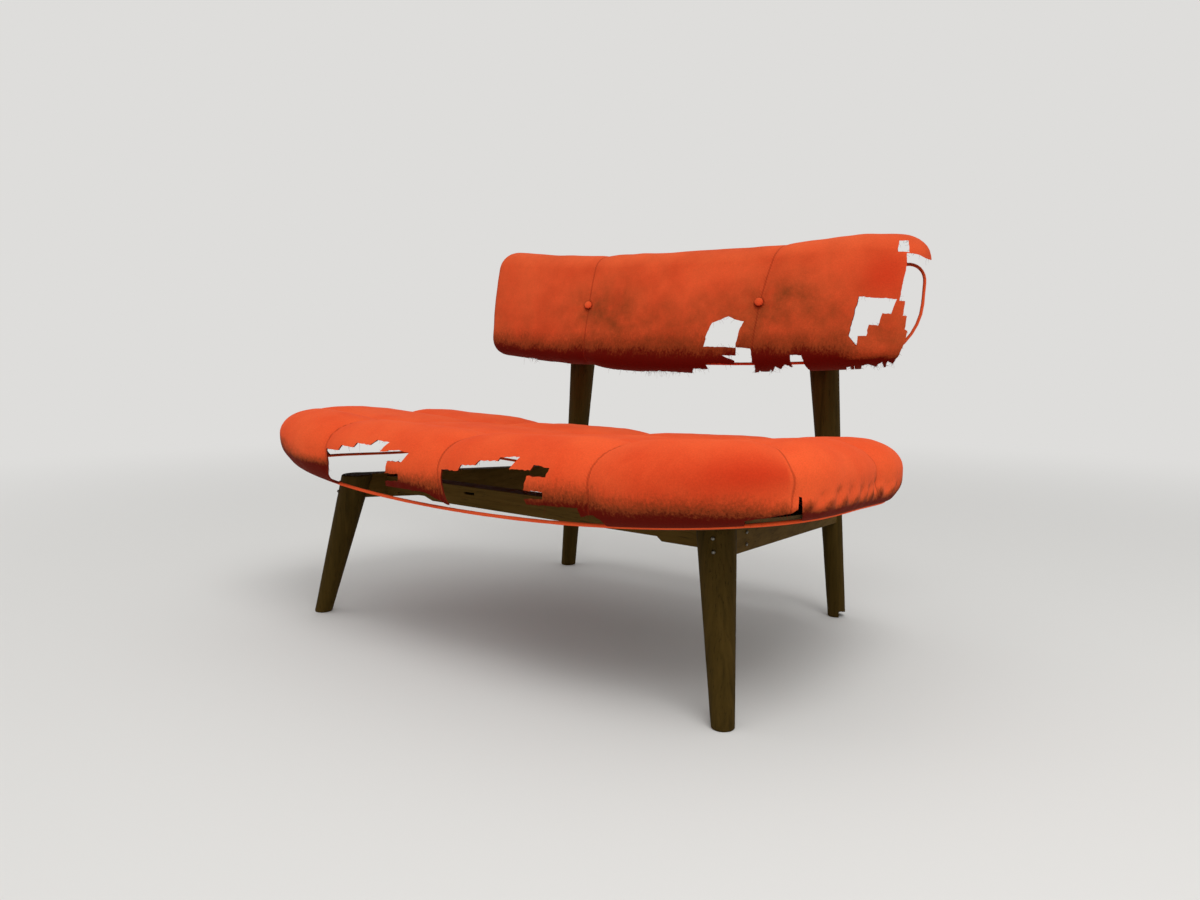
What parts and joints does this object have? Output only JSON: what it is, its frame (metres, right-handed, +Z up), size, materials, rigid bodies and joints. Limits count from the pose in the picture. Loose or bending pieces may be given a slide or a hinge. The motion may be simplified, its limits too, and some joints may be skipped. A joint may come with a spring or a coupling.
{
  "type": "broken lounge chair",
  "caption": "Wide low lounge chair on a dark wooden frame, its orange velvet seat and floating backrest torn open and empty, with loose piping.",
  "frame": {"origin": "on the floor under the middle of the chair's bounding box", "axes": "+X to the right as seen from the front, +Y to the back, +Z up"},
  "size_m": [1.1444, 0.7218, 0.7179],
  "materials": {
    "olive_wood": "dark olive-brown stain, worn satin",
    "velvet": "orange cotton velvet, rubbed and dirty",
    "plywood": "bare plywood, broken edge",
    "steel": "dull round screw heads"
  },
  "bodies": {
    "root": {"front_leg_left": "olive_wood", "front_leg_right": "olive_wood", "rear_post_left": "olive_wood", "rear_post_right": "olive_wood", "side_rail_left": "olive_wood", "side_rail_right": "olive_wood", "front_rail": "olive_wood", "rear_rail": "olive_wood", "seat_cover": "velvet", "seat_piping": "velvet", "backrest_cover": "velvet", "backrest_piping": "velvet", "back_button_left": "velvet", "back_button_right": "velvet", "seat_board": "plywood", "back_board": "plywood", "leg_screw_left_1": "steel", "leg_screw_left_2": "steel", "leg_screw_right_1": "steel", "leg_screw_right_2": "steel", "rail_screw_left_1": "steel", "rail_screw_left_2": "steel", "rail_screw_right_1": "steel", "rail_screw_right_2": "steel"}
  },
  "joints": []
}
